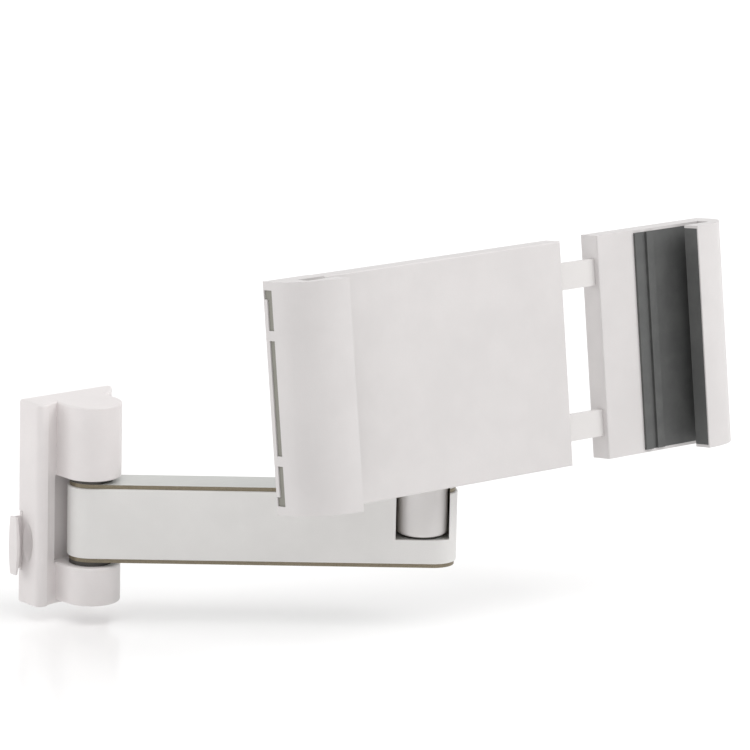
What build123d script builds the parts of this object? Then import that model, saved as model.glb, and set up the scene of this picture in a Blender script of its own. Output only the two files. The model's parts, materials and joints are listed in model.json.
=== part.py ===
"""Tablet wall mount: wall bracket, swinging arm, swivel post, tilting head and sliding clamp holder.

Frame: +X along the wall to the right, +Y into the wall, +Z up. The origin is the middle of
the wall plate's back face, so the wall plane is Y = 0 and the room is on the -Y side.
Lengths are in millimetres and angles in degrees.
"""
import os
from math import cos, radians, sin

from build123d import *

# Bracket housing on the wall
bracket_width = 39.6
bracket_height = 73.0
bracket_depth = 11.8
bracket_corner = 2.5
bracket_edge = 1.0
bracket_wall = 2.2
bracket_foot = 1.5
cavity_depth = 4.6
cavity_step = 4.0
flank_start = 1.4
flank_foot = 1.8
front_hollow = 2.0
front_land = 1.5

# Knuckles that carry the arm
pivot_out = 16.3
knuckle_radius = 10.7
knuckle_edge = 0.8
upper_knuckle_height = 27.2
lower_knuckle_height = 14.0
recess_floor = 6.5
recess_side_gap = 0.7

# Wall plate and its hooks
plate_thickness = 2.4
plate_gap = 0.3
plate_corner = 2.0
wall_screw_spacing = 50.0
wall_screw_radius = 2.25
wall_screw_head = 3.6
hook_width = 12.0
hook_spacing = 18.0
hook_center = 5.0
hook_wall = 0.9
hook_lip = 2.6
hook_bridge = 1.2
hook_gap = 0.15

# Release tab and its spring
tab_height = 21.3
tab_center = -15.0
tab_thickness = 1.5
tab_from_wall = 0.3
tab_reach = 4.8
tab_bulge = 1.9
tab_ear = 0.8
tab_body_length = 5.6
tab_body_depth = 4.0
tab_travel = 3.0
tab_gap = 0.2
thumb_hollow_length = 26.0
thumb_hollow_radius = 4.2
thumb_hollow_depth = 1.2
thumb_hollow_out = 5.4
spring_length = 6.2
spring_radius = 0.75
spring_wire_radius = 0.2
spring_turns = 5
spring_out = 3.55
spring_stop_width = 1.2
spring_stop_height = 5.0

# Pivot pin and bushes
pin_radius = 3.0
pin_head_radius = 4.6
pin_head_height = 2.6
pin_head_sink = 0.4
pin_top_cover = 6.5
running_fit = 0.06
bush_radius = 4.2
bush_spacing = 10.6
bush_fit = 0.03
collar_radius = 7.7
collar_height = 1.5
collar_gap = 0.1

# Arm
arm_angle = 38.2
arm_reach = 118.3
arm_thickness = 17.0
arm_end_shift = 4.0
core_thickness = 15.6
core_lip = 1.4
cover_wall = 1.5
cover_gap = 0.05
cover_seam = 0.1
cover_edge = 0.5
cover_screw_radius = 1.25
cover_screw_head = 2.4
cover_screw_length = 7.0
cover_screw_first = 28.0
cover_screw_pitch = 54.0

# Swivel post
post_radius = 9.2
post_edge = 1.4
ledge_height = 10.3
washer_thickness = 0.9
washer_radius = 7.2
cup_gap = 0.4
post_screw_radius = 3.0
post_screw_head_radius = 5.4
post_screw_head_height = 3.2
post_screw_sink = 0.6
post_screw_grip = 15.0
head_gap = 0.3

# Tilting head
tilt_height = 51.2
tilt_angle = 7.6
tongue_radius = 8.0
tongue_width = 8.0
shoulder_gap = 1.6
fork_cheek = 5.0
fork_radius = 8.6
friction_washer = 0.8
friction_washer_radius = 6.0
side_play = 0.05
tilt_bolt_radius = 2.5
tilt_bolt_head_radius = 4.6
tilt_bolt_head_height = 2.7
tilt_bolt_tip = 0.8
nut_width = 8.0
nut_thickness = 4.0
disc_radius = 20.0
disc_thickness = 3.0
friction_ring_thickness = 1.2
friction_ring_radius = 18.0
friction_ring_bore = 9.0
rotor_bolt_radius = 3.0
rotor_head_radius = 5.5
rotor_head_height = 2.8
rotor_washer_radius = 8.0
rotor_washer_thickness = 1.0

# Holder housing, with depths along the tablet's face normal
holder_out = 23.7
holder_depth = 9.0
holder_height = 81.0
holder_wall = 2.2
front_plate_thickness = 1.8
housing_right = 46.0
plate_edge = 0.6
back_edge = 1.2
boss_radius = 3.0
boss_across = 88.0
boss_up = 28.0
boss_middle = -7.0

# Clamp jaws
left_tip = -61.9
jaw_width = 20.2
jaw_front = 13.4
jaw_skin = 2.4
jaw_tip_skin = 0.6
jaw_end_wall = 1.0
tablet_slot = 6.2
inner_wall = 8.0
pad_floor = 1.6
pad_floor_width = 11.6
pad_leg = 2.0
pad_rib_width = 3.4
pad_rib_height = 0.9
pad_rib_pitch = 5.6
pad_gap = 0.05
grip_gap = 186.6
jaw_flange_thickness = 1.5
jaw_flange_width = 10.5
jaw_screw_spacing = 56.0
jaw_screw_inset = 5.0

# Slots in the jaws' outer walls
side_slot_width = 2.8
side_slot_back = 1.8
middle_slot = 40.0
end_slot = 14.0
slot_web = 3.5
slot_fill_sink = 0.5
slot_notch_length = 3.2
slot_notch_width = 4.2
slot_notch_back = 0.4

# Slide bars and right clamp
bar_height = 9.6
bar_thickness = 2.8
bar_front = 2.2
bar_spacing = 54.6
bar_gap = 0.15
bar_travel_out = 50.0
bar_in_clamp = 14.8
bar_head_width = 3.0
bar_head_height = 12.4
guide_length = 20.3
guide_rail = 1.6
rail_length = 92.0
clamp_gap = 17.4
clamp_deck = 17.5
clamp_end_wall = 2.0
back_cover_thickness = 2.0
back_cover_gap = 0.1
cover_boss_left = 9.0
cover_boss_right = 42.0
cover_boss_up = 32.0
cover_boss_inner = 12.0
bar_screw_first = 5.0
bar_screw_pitch = 6.5
bar_screw_cover = 0.8
screw_radius = 1.4
screw_head_radius = 2.5
screw_head_height = 1.3
screw_fit = 0.05

# Places that follow from the sizes above
quarter_turn = 90
half_width = bracket_width / 2
half_height = bracket_height / 2
upper_knuckle_bottom = half_height - upper_knuckle_height
lower_knuckle_top = lower_knuckle_height - half_height
collar_space = collar_height + collar_gap
arm_top = upper_knuckle_bottom - collar_space
arm_bottom = lower_knuckle_top + collar_space
arm_height = arm_top - arm_bottom
bush_length = (arm_height - bush_spacing) / 2
arm_slot = arm_reach + arm_end_shift
ledge_top = arm_bottom + ledge_height
post_bottom = ledge_top + washer_thickness
shoulder_height = tilt_height - tongue_radius - shoulder_gap

arm_direction = Vector(cos(radians(arm_angle)), -sin(radians(arm_angle)), 0)
pivot_point = Vector(0, -pivot_out, 0)
post_point = pivot_point + arm_direction * arm_reach
tilt_point = Vector(post_point.X, post_point.Y, tilt_height)
face_normal = Vector(0, -cos(radians(tilt_angle)), sin(radians(tilt_angle)))
face_up = Vector(0, sin(radians(tilt_angle)), cos(radians(tilt_angle)))

arm_plane = Plane(origin=pivot_point, x_dir=arm_direction, z_dir=(0, 0, 1))
post_plane = Plane(origin=(post_point.X, post_point.Y, 0), x_dir=(1, 0, 0), z_dir=(0, 0, 1))
tongue_plane = Plane(origin=tilt_point, x_dir=(0, -1, 0), z_dir=(1, 0, 0))
head_plane = Plane(origin=tilt_point, x_dir=(1, 0, 0), z_dir=face_normal)
cheek_plane = Plane(origin=tilt_point, x_dir=face_normal, z_dir=(1, 0, 0))
holder_plane = head_plane.offset(holder_out)
section_plane = Plane(origin=holder_plane.origin, x_dir=(1, 0, 0), z_dir=face_up * -1)

half_holder = holder_height / 2
left_outer = left_tip - jaw_width
left_wall = left_outer + inner_wall
right_wall = left_wall + grip_gap
right_outer = right_wall + inner_wall
right_tip = right_outer - jaw_width
clamp_left = housing_right + clamp_gap
pad_half_height = half_holder - jaw_end_wall - pad_gap
floor_start = left_wall + pad_floor_width + pad_gap
cheek_inner = tongue_width / 2 + 2 * side_play + friction_washer
cheek_outer = cheek_inner + fork_cheek
disc_back = holder_out - holder_depth - friction_ring_thickness - disc_thickness
bar_right = clamp_left + bar_in_clamp
bar_stop = housing_right - holder_wall - guide_length
bar_left = bar_stop - bar_travel_out - 2 * bar_gap - bar_head_width
bar_back = bar_front + bar_thickness
channel_half = bar_head_height / 2 + bar_gap

os.makedirs("parts", exist_ok=True)


def save(builder, label):
    """Label a finished piece and write it to its own file."""
    builder.part.label = label
    export_step(builder.part, f"parts/{label}.step")


def span(x_range, y_range, mode=Mode.ADD):
    """Sketch a rectangle from its two ranges on the current plane."""
    center = ((x_range[0] + x_range[1]) / 2, (y_range[0] + y_range[1]) / 2)
    with Locations(center):
        Rectangle(x_range[1] - x_range[0], y_range[1] - y_range[0], mode=mode)


def screw_body(radius, head_radius, head_height, length, gap=0.0):
    """One countersunk screw along +Z from its head's face, or its seat where a gap is given."""
    with BuildPart() as body:
        with BuildSketch(Plane.XZ):
            with BuildLine():
                Polyline(
                    (0, 0),
                    (head_radius + gap, 0),
                    (radius + gap, head_height),
                    (radius + gap, length + gap),
                    (0, length + gap),
                    close=True,
                )
            make_face()
        revolve(axis=Axis.Z)
    return body.part


# Wall plate: countersunk flat plate, two upward hooks and a notch where the tab works
plate_width = bracket_width - 2 * (bracket_wall + plate_gap)
plate_height = bracket_height - 2 * (bracket_wall + plate_gap)
body_half_height = tab_height / 2 + tab_ear
notch_end = -half_width + bracket_wall + tab_body_length + tab_travel + tab_gap
hook_heights = [hook_center - hook_spacing / 2, hook_center + hook_spacing / 2]
leg_back = plate_thickness + hook_gap
lip_back = leg_back + hook_wall + hook_gap
lip_front = lip_back + hook_wall
with BuildPart() as wall_plate:
    with BuildSketch(Plane.XZ):
        RectangleRounded(plate_width, plate_height, plate_corner)
        span(
            (-half_width, notch_end),
            (tab_center - body_half_height - tab_gap, tab_center + body_half_height + tab_gap),
            Mode.SUBTRACT,
        )
    extrude(amount=plate_thickness)
    for height in hook_heights:
        with BuildSketch(Plane.YZ):
            span((-lip_front, -plate_thickness), (height - hook_wall, height))
            span((-lip_front, -lip_back), (height, height + hook_lip))
        extrude(amount=hook_width / 2, both=True)
    with Locations(Plane.XZ.offset(plate_thickness)):
        with Locations((0, wall_screw_spacing / 2), (0, -wall_screw_spacing / 2)):
            CounterSinkHole(wall_screw_radius, wall_screw_head, plate_thickness)
save(wall_plate, "wall_plate")

# Bracket housing: hollow moulding with two knuckles and a recess where the arm turns
pin_top = half_height - pin_top_cover
hollow_left = -half_width + bracket_corner + front_land
hollow_floor = front_hollow - bracket_depth
head_seat = pin_head_height + pin_head_sink
hollow_axis_x = -half_width - thumb_hollow_radius + thumb_hollow_depth
spring_stop_x = -half_width + bracket_wall + tab_gap + tab_body_length + spring_length
with BuildPart() as bracket_housing:
    with BuildSketch(Plane.XY.offset(-half_height - bracket_foot)):
        with BuildLine():
            Polyline(
                (hollow_left, -bracket_depth),
                (-half_width, -bracket_depth),
                (-half_width, 0),
                (half_width, 0),
                (half_width, -flank_start),
                (knuckle_radius + flank_foot, hollow_floor),
                (-knuckle_radius, hollow_floor),
            )
            ThreePointArc(
                (-knuckle_radius, hollow_floor),
                ((hollow_left - knuckle_radius) / 2, hollow_floor - front_hollow / 3),
                (hollow_left, -bracket_depth),
            )
        make_face()
    extrude(amount=bracket_height + bracket_foot)
    front_corner = bracket_housing.edges().filter_by(Axis.Z).group_by(Axis.Y)[0].sort_by(Axis.X)[0]
    fillet(front_corner, radius=bracket_corner)
    end_faces = bracket_housing.faces().filter_by(Axis.Z)
    rims = end_faces.edges().filter_by(lambda edge: edge.center().Y < -bracket_edge / 2)
    fillet(rims, radius=bracket_edge)
    with BuildSketch(Plane.XY.offset(-half_height)):
        with Locations((0, -pivot_out)):
            Circle(knuckle_radius)
        span((-knuckle_radius, knuckle_radius), (-pivot_out, -recess_floor))
    extrude(amount=bracket_height)
    with BuildSketch(Plane.XY.offset(lower_knuckle_top)):
        recess_half = knuckle_radius + recess_side_gap
        span((-recess_half, recess_half), (-pivot_out - 2 * knuckle_radius, -recess_floor))
    extrude(amount=upper_knuckle_bottom - lower_knuckle_top, mode=Mode.SUBTRACT)
    knuckle_rims = bracket_housing.edges().filter_by(GeomType.CIRCLE).filter_by(
        lambda edge: edge.center().Y < -bracket_depth - pin_radius)
    fillet(knuckle_rims, radius=knuckle_edge)
    with BuildSketch(Plane.XZ):
        Rectangle(bracket_width - 2 * bracket_wall, bracket_height - 2 * bracket_wall)
    extrude(amount=leg_back, mode=Mode.SUBTRACT)
    with BuildSketch(Plane.XZ):
        span(
            (-half_width + bracket_wall, half_width - bracket_wall - cavity_step),
            (-half_height + bracket_wall, half_height - bracket_wall),
        )
    extrude(amount=cavity_depth, mode=Mode.SUBTRACT)
    for height in hook_heights:
        leg_top = height + hook_lip + hook_gap + hook_bridge
        with BuildSketch(Plane.YZ):
            span((-lip_back + hook_gap, -leg_back), (height + hook_gap, leg_top))
            span((-cavity_depth, -leg_back), (leg_top - hook_bridge, leg_top))
        extrude(amount=hook_width / 2, both=True)
    with BuildSketch(Plane.XZ.offset(leg_back)):
        span(
            (spring_stop_x, spring_stop_x + spring_stop_width),
            (tab_center - spring_stop_height / 2, tab_center + spring_stop_height / 2),
        )
    extrude(amount=cavity_depth - leg_back)
    with BuildSketch(Plane.XZ):
        span(
            (-half_width - tab_gap, -half_width + bracket_wall),
            (tab_center - tab_height / 2 - tab_gap, tab_center + tab_height / 2 + tab_gap),
        )
    extrude(amount=tab_from_wall + tab_thickness + tab_gap, mode=Mode.SUBTRACT)
    hollow_origin = (hollow_axis_x, -thumb_hollow_out, tab_center)
    with BuildSketch(Plane(origin=hollow_origin, x_dir=(1, 0, 0), z_dir=(0, -1, 0))):
        with BuildLine():
            ThreePointArc(
                (0, -thumb_hollow_length / 2), (thumb_hollow_radius, 0), (0, thumb_hollow_length / 2)
            )
            Line((0, thumb_hollow_length / 2), (0, -thumb_hollow_length / 2))
        make_face()
    revolve(axis=Axis(hollow_origin, (0, 0, 1)), mode=Mode.SUBTRACT)
    with BuildSketch(Plane.XY.offset(-half_height)):
        with Locations((0, -pivot_out)):
            Circle(pin_radius + running_fit)
    extrude(amount=half_height + pin_top, mode=Mode.SUBTRACT)
    with BuildSketch(Plane.XY.offset(-half_height)):
        with Locations((0, -pivot_out)):
            Circle(pin_head_radius + running_fit)
    extrude(amount=head_seat, mode=Mode.SUBTRACT)
save(bracket_housing, "bracket_housing")

# Release tab: convex thumb tab outside, eared body inside
with BuildPart() as release_tab:
    body_left = -half_width + bracket_wall + tab_gap / 2
    straight_end = -half_width - tab_reach + tab_bulge
    with BuildSketch(Plane.XZ.offset(tab_from_wall)):
        with BuildLine():
            Polyline(
                (straight_end, tab_center - tab_height / 2),
                (body_left, tab_center - tab_height / 2),
                (body_left, tab_center + tab_height / 2),
                (straight_end, tab_center + tab_height / 2),
            )
            ThreePointArc(
                (straight_end, tab_center + tab_height / 2),
                (-half_width - tab_reach, tab_center),
                (straight_end, tab_center - tab_height / 2),
            )
        make_face()
    extrude(amount=tab_thickness)
    with BuildSketch(Plane.XZ.offset(tab_from_wall)):
        span(
            (body_left, body_left + tab_body_length),
            (tab_center - body_half_height, tab_center + body_half_height),
        )
    extrude(amount=tab_body_depth)
save(release_tab, "release_tab")

# Latch spring between the tab's body and the stop in the housing
spring_start = spring_stop_x - spring_length + tab_gap / 2 + spring_wire_radius
spring_run = spring_stop_x - spring_wire_radius - tab_gap / 2 - spring_start
with BuildPart() as latch_spring:
    with BuildLine():
        coil = Helix(
            spring_run / spring_turns,
            spring_run,
            spring_radius,
            center=(spring_start, -spring_out, tab_center),
            direction=(1, 0, 0),
        )
    with BuildSketch(Plane(origin=coil @ 0, z_dir=coil % 0)):
        Circle(spring_wire_radius)
    sweep()
save(latch_spring, "latch_spring")

# Pivot pin, entered from below
with BuildPart() as pivot_pin:
    with BuildSketch(Plane.XY.offset(-half_height + pin_head_sink)):
        with Locations((0, -pivot_out)):
            Circle(pin_head_radius)
    extrude(amount=pin_head_height - running_fit)
    with BuildSketch(Plane.XY.offset(-half_height + pin_head_sink)):
        with Locations((0, -pivot_out)):
            Circle(pin_radius)
    extrude(amount=half_height - pin_head_sink + pin_top - running_fit)
save(pivot_pin, "pivot_pin")

# Collared bushes pressed into the ends of the arm's bore
for label, face_height, inward in (
    ("upper_bush", arm_top, -1),
    ("lower_bush", arm_bottom, 1),
):
    with BuildPart() as bush:
        with BuildSketch(arm_plane.offset(face_height)):
            Circle(bush_radius)
            Circle(pin_radius + running_fit, mode=Mode.SUBTRACT)
        extrude(amount=inward * bush_length)
        with BuildSketch(arm_plane.offset(face_height)):
            Circle(collar_radius)
            Circle(pin_radius + running_fit, mode=Mode.SUBTRACT)
        extrude(amount=-inward * collar_height)
    save(bush, label)

# Arm core: a bar with full-length lips above and below the side covers
web_thickness = arm_thickness - 2 * cover_wall
cover_bottom = arm_bottom + core_lip
cover_height = arm_height - 2 * core_lip
cup_radius = post_radius + cup_gap
screw_seat_height = post_screw_sink + post_screw_head_height
cover_screw_points = [
    (-cover_screw_first, cover_bottom + cover_height / 2),
    (-cover_screw_first - cover_screw_pitch, cover_bottom + cover_height / 2),
]
rear_face = Plane(
    origin=arm_plane.from_local_coords((0, arm_thickness / 2, 0)),
    x_dir=arm_direction * -1,
    z_dir=arm_plane.y_dir * -1,
)
rear_points = [(x, -y) for x, y in cover_screw_points]
cover_screw_size = (cover_screw_radius, cover_screw_head, cover_wall - cover_gap, cover_screw_length)
cover_screw = screw_body(*cover_screw_size)
cover_screw_seat = screw_body(*cover_screw_size, gap=screw_fit)


def cup_outline():
    """Sketch the post's cup, open on the arm's front side."""
    with BuildSketch() as outline:
        with Locations((arm_reach, 0)):
            Circle(cup_radius)
        span((arm_reach - cup_radius, arm_reach + cup_radius), (-arm_thickness, 0))
    return outline.sketch


with BuildPart() as arm_core:
    with BuildSketch(arm_plane.offset(arm_bottom)):
        with Locations((arm_slot / 2, 0)):
            SlotCenterToCenter(arm_slot, web_thickness)
    extrude(amount=arm_height)
    for lip_bottom in (arm_bottom, arm_top - core_lip):
        with BuildSketch(arm_plane.offset(lip_bottom)):
            with Locations((arm_slot / 2, 0)):
                SlotCenterToCenter(arm_slot, core_thickness)
        extrude(amount=core_lip)
    with BuildSketch(arm_plane.offset(arm_bottom)):
        Circle(bush_radius + bush_fit)
    extrude(amount=arm_height, mode=Mode.SUBTRACT)
    with BuildSketch(arm_plane.offset(ledge_top)):
        add(cup_outline())
    extrude(amount=arm_height, mode=Mode.SUBTRACT)
    with BuildSketch(arm_plane.offset(arm_bottom)):
        with Locations((arm_reach, 0)):
            Circle(post_screw_radius + running_fit)
    extrude(amount=ledge_height, mode=Mode.SUBTRACT)
    with BuildSketch(arm_plane.offset(arm_bottom)):
        with Locations((arm_reach, 0)):
            Circle(post_screw_head_radius + head_gap)
    extrude(amount=screw_seat_height, mode=Mode.SUBTRACT)
    with Locations(rear_face):
        with Locations(*rear_points):
            add(cover_screw_seat, mode=Mode.SUBTRACT)
save(arm_core, "arm_core")

# Arm covers: two half shells that meet at the middle of each rounded end
for label, side in (("arm_front_cover", Keep.BOTTOM), ("arm_rear_cover", Keep.TOP)):
    with BuildPart() as cover:
        with BuildSketch(arm_plane.offset(cover_bottom + cover_gap)):
            with Locations((arm_slot / 2, 0)):
                SlotCenterToCenter(arm_slot, arm_thickness)
        extrude(amount=cover_height - 2 * cover_gap)
        fillet(cover.faces().filter_by(Axis.Z).edges(), radius=cover_edge)
        with BuildSketch(arm_plane.offset(cover_bottom)):
            with Locations((arm_slot / 2, 0)):
                SlotCenterToCenter(arm_slot, web_thickness + 2 * cover_gap)
        extrude(amount=cover_height, mode=Mode.SUBTRACT)
        with BuildSketch(arm_plane.offset(ledge_top)):
            add(cup_outline())
        extrude(amount=arm_height, mode=Mode.SUBTRACT)
        seam_side = cover_seam / 2 if side == Keep.TOP else -cover_seam / 2
        seam = Plane(
            origin=arm_plane.from_local_coords((0, seam_side, 0)),
            x_dir=arm_direction,
            z_dir=arm_plane.y_dir,
        )
        split(bisect_by=seam, keep=side)
        if side == Keep.TOP:
            with Locations(rear_face):
                with Locations(*rear_points):
                    add(cover_screw_seat, mode=Mode.SUBTRACT)
    save(cover, label)

# Two countersunk screws that hold the rear cover
with BuildPart() as cover_screws:
    with Locations(rear_face):
        with Locations(*rear_points):
            add(cover_screw)
save(cover_screws, "cover_screws")

# Swivel post with a flat tongue at its top
with BuildPart() as swivel_post:
    with BuildSketch(post_plane.offset(post_bottom)):
        Circle(post_radius)
    extrude(amount=shoulder_height - post_bottom)
    fillet(swivel_post.edges().group_by(Axis.Z)[0], radius=post_edge)
    chamfer(swivel_post.edges().group_by(Axis.Z)[-1], length=cover_edge)
    with BuildSketch(tongue_plane):
        Circle(tongue_radius)
        span((-tongue_radius, tongue_radius), (0, tongue_radius + shoulder_gap + post_edge))
    extrude(amount=tongue_width / 2, both=True)
    with BuildSketch(post_plane.offset(post_bottom)):
        Circle(post_screw_radius + running_fit)
    extrude(amount=post_screw_grip + running_fit, mode=Mode.SUBTRACT)
    with BuildSketch(tongue_plane):
        Circle(tilt_bolt_radius + running_fit)
    extrude(amount=tongue_width, both=True, mode=Mode.SUBTRACT)
save(swivel_post, "swivel_post")

# Washer under the post and the shoulder screw from below
with BuildPart() as post_washer:
    with BuildSketch(post_plane.offset(ledge_top)):
        Circle(washer_radius)
        Circle(post_screw_radius + running_fit, mode=Mode.SUBTRACT)
    extrude(amount=washer_thickness - side_play)
save(post_washer, "post_washer")

with BuildPart() as post_screw:
    with BuildSketch(post_plane.offset(arm_bottom + post_screw_sink)):
        Circle(post_screw_head_radius)
    extrude(amount=post_screw_head_height - side_play)
    with BuildSketch(post_plane.offset(arm_bottom + post_screw_sink)):
        Circle(post_screw_radius)
    extrude(amount=post_bottom - arm_bottom - post_screw_sink + post_screw_grip)
    with BuildSketch(post_plane.offset(arm_bottom + post_screw_sink)):
        RegularPolygon(post_screw_radius, 6)
    extrude(amount=post_screw_head_height / 2, mode=Mode.SUBTRACT)
save(post_screw, "post_screw")

# Tilt fork: round disc with two cheeks that straddle the tongue
with BuildPart() as tilt_fork:
    with BuildSketch(head_plane.offset(disc_back)):
        Circle(disc_radius)
    extrude(amount=disc_thickness)
    fillet(tilt_fork.edges().filter_by(GeomType.CIRCLE), radius=plate_edge)
    for inner_face in (cheek_inner, -cheek_outer):
        with BuildSketch(cheek_plane.offset(inner_face)):
            Circle(fork_radius)
            span((0, disc_back + disc_thickness / 2), (-fork_radius, fork_radius))
        extrude(amount=fork_cheek)
    with BuildSketch(cheek_plane):
        Circle(tilt_bolt_radius + running_fit)
    extrude(amount=cheek_outer + side_play, both=True, mode=Mode.SUBTRACT)
    with BuildSketch(head_plane.offset(disc_back)):
        Circle(rotor_bolt_radius + running_fit)
    extrude(amount=disc_thickness, mode=Mode.SUBTRACT)
save(tilt_fork, "tilt_fork")

# Tilt bolt along the cheeks, its nut and the two friction washers
with BuildPart() as tilt_bolt:
    with BuildSketch(cheek_plane.offset(-cheek_outer - side_play)):
        Circle(tilt_bolt_head_radius)
    extrude(amount=-tilt_bolt_head_height)
    fillet(tilt_bolt.edges().group_by(Axis.X)[0], radius=tilt_bolt_head_height / 2)
    with BuildSketch(cheek_plane.offset(-cheek_outer - side_play)):
        Circle(tilt_bolt_radius)
    extrude(amount=2 * cheek_outer + 2 * side_play + nut_thickness + tilt_bolt_tip)
    with BuildSketch(cheek_plane.offset(-cheek_outer - tilt_bolt_head_height - side_play)):
        RegularPolygon(tilt_bolt_radius / 2 + running_fit, 6)
    extrude(amount=tilt_bolt_head_height / 2, mode=Mode.SUBTRACT)
save(tilt_bolt, "tilt_bolt")

with BuildPart() as tilt_nut:
    with BuildSketch(cheek_plane.offset(cheek_outer + side_play)):
        RegularPolygon(nut_width / 2, 6, major_radius=False)
        Circle(tilt_bolt_radius + running_fit, mode=Mode.SUBTRACT)
    extrude(amount=nut_thickness)
save(tilt_nut, "tilt_nut")

with BuildPart() as tilt_washers:
    for washer_face in (tongue_width / 2 + side_play, -tongue_width / 2 - side_play - friction_washer):
        with BuildSketch(cheek_plane.offset(washer_face)):
            Circle(friction_washer_radius)
            Circle(tilt_bolt_radius + running_fit, mode=Mode.SUBTRACT)
        extrude(amount=friction_washer)
save(tilt_washers, "tilt_washers")

# Rotor joint: friction ring behind the holder, washer and bolt inside it
with BuildPart() as friction_ring:
    with BuildSketch(head_plane.offset(disc_back + disc_thickness)):
        Circle(friction_ring_radius)
        Circle(friction_ring_bore, mode=Mode.SUBTRACT)
    extrude(amount=friction_ring_thickness - side_play)
save(friction_ring, "friction_ring")

inner_floor = holder_out - holder_depth + holder_wall
with BuildPart() as rotor_washer:
    with BuildSketch(head_plane.offset(inner_floor + side_play)):
        Circle(rotor_washer_radius)
        Circle(rotor_bolt_radius + running_fit, mode=Mode.SUBTRACT)
    extrude(amount=rotor_washer_thickness)
save(rotor_washer, "rotor_washer")

rotor_head_back = inner_floor + side_play + rotor_washer_thickness
with BuildPart() as rotor_bolt:
    with BuildSketch(head_plane.offset(rotor_head_back)):
        Circle(rotor_head_radius)
    extrude(amount=rotor_head_height)
    with BuildSketch(head_plane.offset(disc_back + side_play)):
        Circle(rotor_bolt_radius)
    extrude(amount=rotor_head_back - disc_back)
    with BuildSketch(head_plane.offset(rotor_head_back + rotor_head_height)):
        RegularPolygon(rotor_bolt_radius, 6)
    extrude(amount=-rotor_head_height / 2, mode=Mode.SUBTRACT)
save(rotor_bolt, "rotor_bolt")

# Rear housing: open tray with guide rails for the slide bars and a deck under the left jaw
tray_left = left_outer + jaw_skin + pad_leg + 2 * pad_gap
tray_inner_left = floor_start + holder_wall
tray_inner_right = housing_right - holder_wall
tray_inner_half = half_holder - holder_wall
back_plane = holder_plane.offset(-holder_depth)
floor_plane = holder_plane.offset(-holder_depth + holder_wall)
plate_back_plane = holder_plane.offset(-front_plate_thickness)
flange_right = left_outer + jaw_skin + jaw_flange_width
boss_points = [
    (boss_middle + x * boss_across / 2, y * boss_up / 2) for x in (-1, 1) for y in (-1, 1)
]
jaw_screw_points = [
    (flange_right - jaw_screw_inset, jaw_screw_spacing / 2),
    (flange_right - jaw_screw_inset, -jaw_screw_spacing / 2),
]
rail_left = tray_inner_right - rail_length
head_size = (screw_radius, screw_head_radius, screw_head_height)
jaw_screw_length = jaw_flange_thickness + holder_depth / 2
housing_screw_seat = screw_body(*head_size, holder_wall, gap=screw_fit)
jaw_screw_seat = screw_body(*head_size, jaw_screw_length, gap=screw_fit)
with BuildPart() as rear_housing:
    with BuildSketch(back_plane):
        span((tray_left, housing_right), (-half_holder, half_holder))
    extrude(amount=holder_depth - front_plate_thickness)
    back_rims = rear_housing.faces().sort_by(Axis(holder_plane.origin, face_normal))[0].edges()
    fillet(back_rims.filter_by(lambda edge: edge.center().X > post_point.X + left_tip),
           radius=back_edge)
    with BuildSketch(plate_back_plane):
        span((tray_left, floor_start), (-half_holder, half_holder))
    extrude(amount=front_plate_thickness - pad_floor - pad_gap)
    for end in (-1, 1):
        with BuildSketch(back_plane):
            inner_end = end * (half_holder - jaw_end_wall - pad_gap)
            outer_end = end * half_holder
            span((tray_left, floor_start), (min(inner_end, outer_end), max(inner_end, outer_end)))
        extrude(amount=holder_depth, mode=Mode.SUBTRACT)
    with BuildSketch(back_plane):
        span((tray_left, flange_right + pad_gap), (-half_holder, half_holder))
    extrude(amount=jaw_flange_thickness + pad_gap, mode=Mode.SUBTRACT)
    with BuildSketch(floor_plane):
        span((tray_inner_left, tray_inner_right), (-tray_inner_half, tray_inner_half))
    extrude(amount=holder_depth, mode=Mode.SUBTRACT)
    rail_depth = holder_depth - holder_wall - front_plate_thickness
    floor_strip = holder_depth - holder_wall - bar_back - bar_gap
    for middle in (-bar_spacing / 2, bar_spacing / 2):
        with BuildSketch(floor_plane):
            with Locations(((rail_left + tray_inner_right) / 2, middle)):
                Rectangle(rail_length, 2 * (channel_half + guide_rail))
        extrude(amount=floor_strip)
        with BuildSketch(floor_plane):
            with Locations(((rail_left + tray_inner_right) / 2, middle)):
                Rectangle(rail_length, 2 * (channel_half + guide_rail))
                Rectangle(rail_length, 2 * channel_half, mode=Mode.SUBTRACT)
            with Locations((tray_inner_right - guide_length / 2, middle)):
                Rectangle(guide_length, 2 * (channel_half + guide_rail))
                Rectangle(guide_length, bar_height + 2 * bar_gap, mode=Mode.SUBTRACT)
        extrude(amount=rail_depth)
        with BuildSketch(holder_plane.offset(-bar_back - bar_gap)):
            with Locations((tray_inner_right + holder_wall / 2, middle)):
                Rectangle(holder_wall, bar_height + 2 * bar_gap)
        extrude(amount=bar_thickness + 2 * bar_gap, mode=Mode.SUBTRACT)
    with BuildSketch(back_plane):
        Circle(rotor_bolt_radius + running_fit)
    extrude(amount=holder_wall, mode=Mode.SUBTRACT)
    with Locations(back_plane):
        with Locations(*boss_points):
            add(housing_screw_seat, mode=Mode.SUBTRACT)
        with Locations(*jaw_screw_points):
            add(jaw_screw_seat, mode=Mode.SUBTRACT)
save(rear_housing, "rear_housing")

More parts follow.
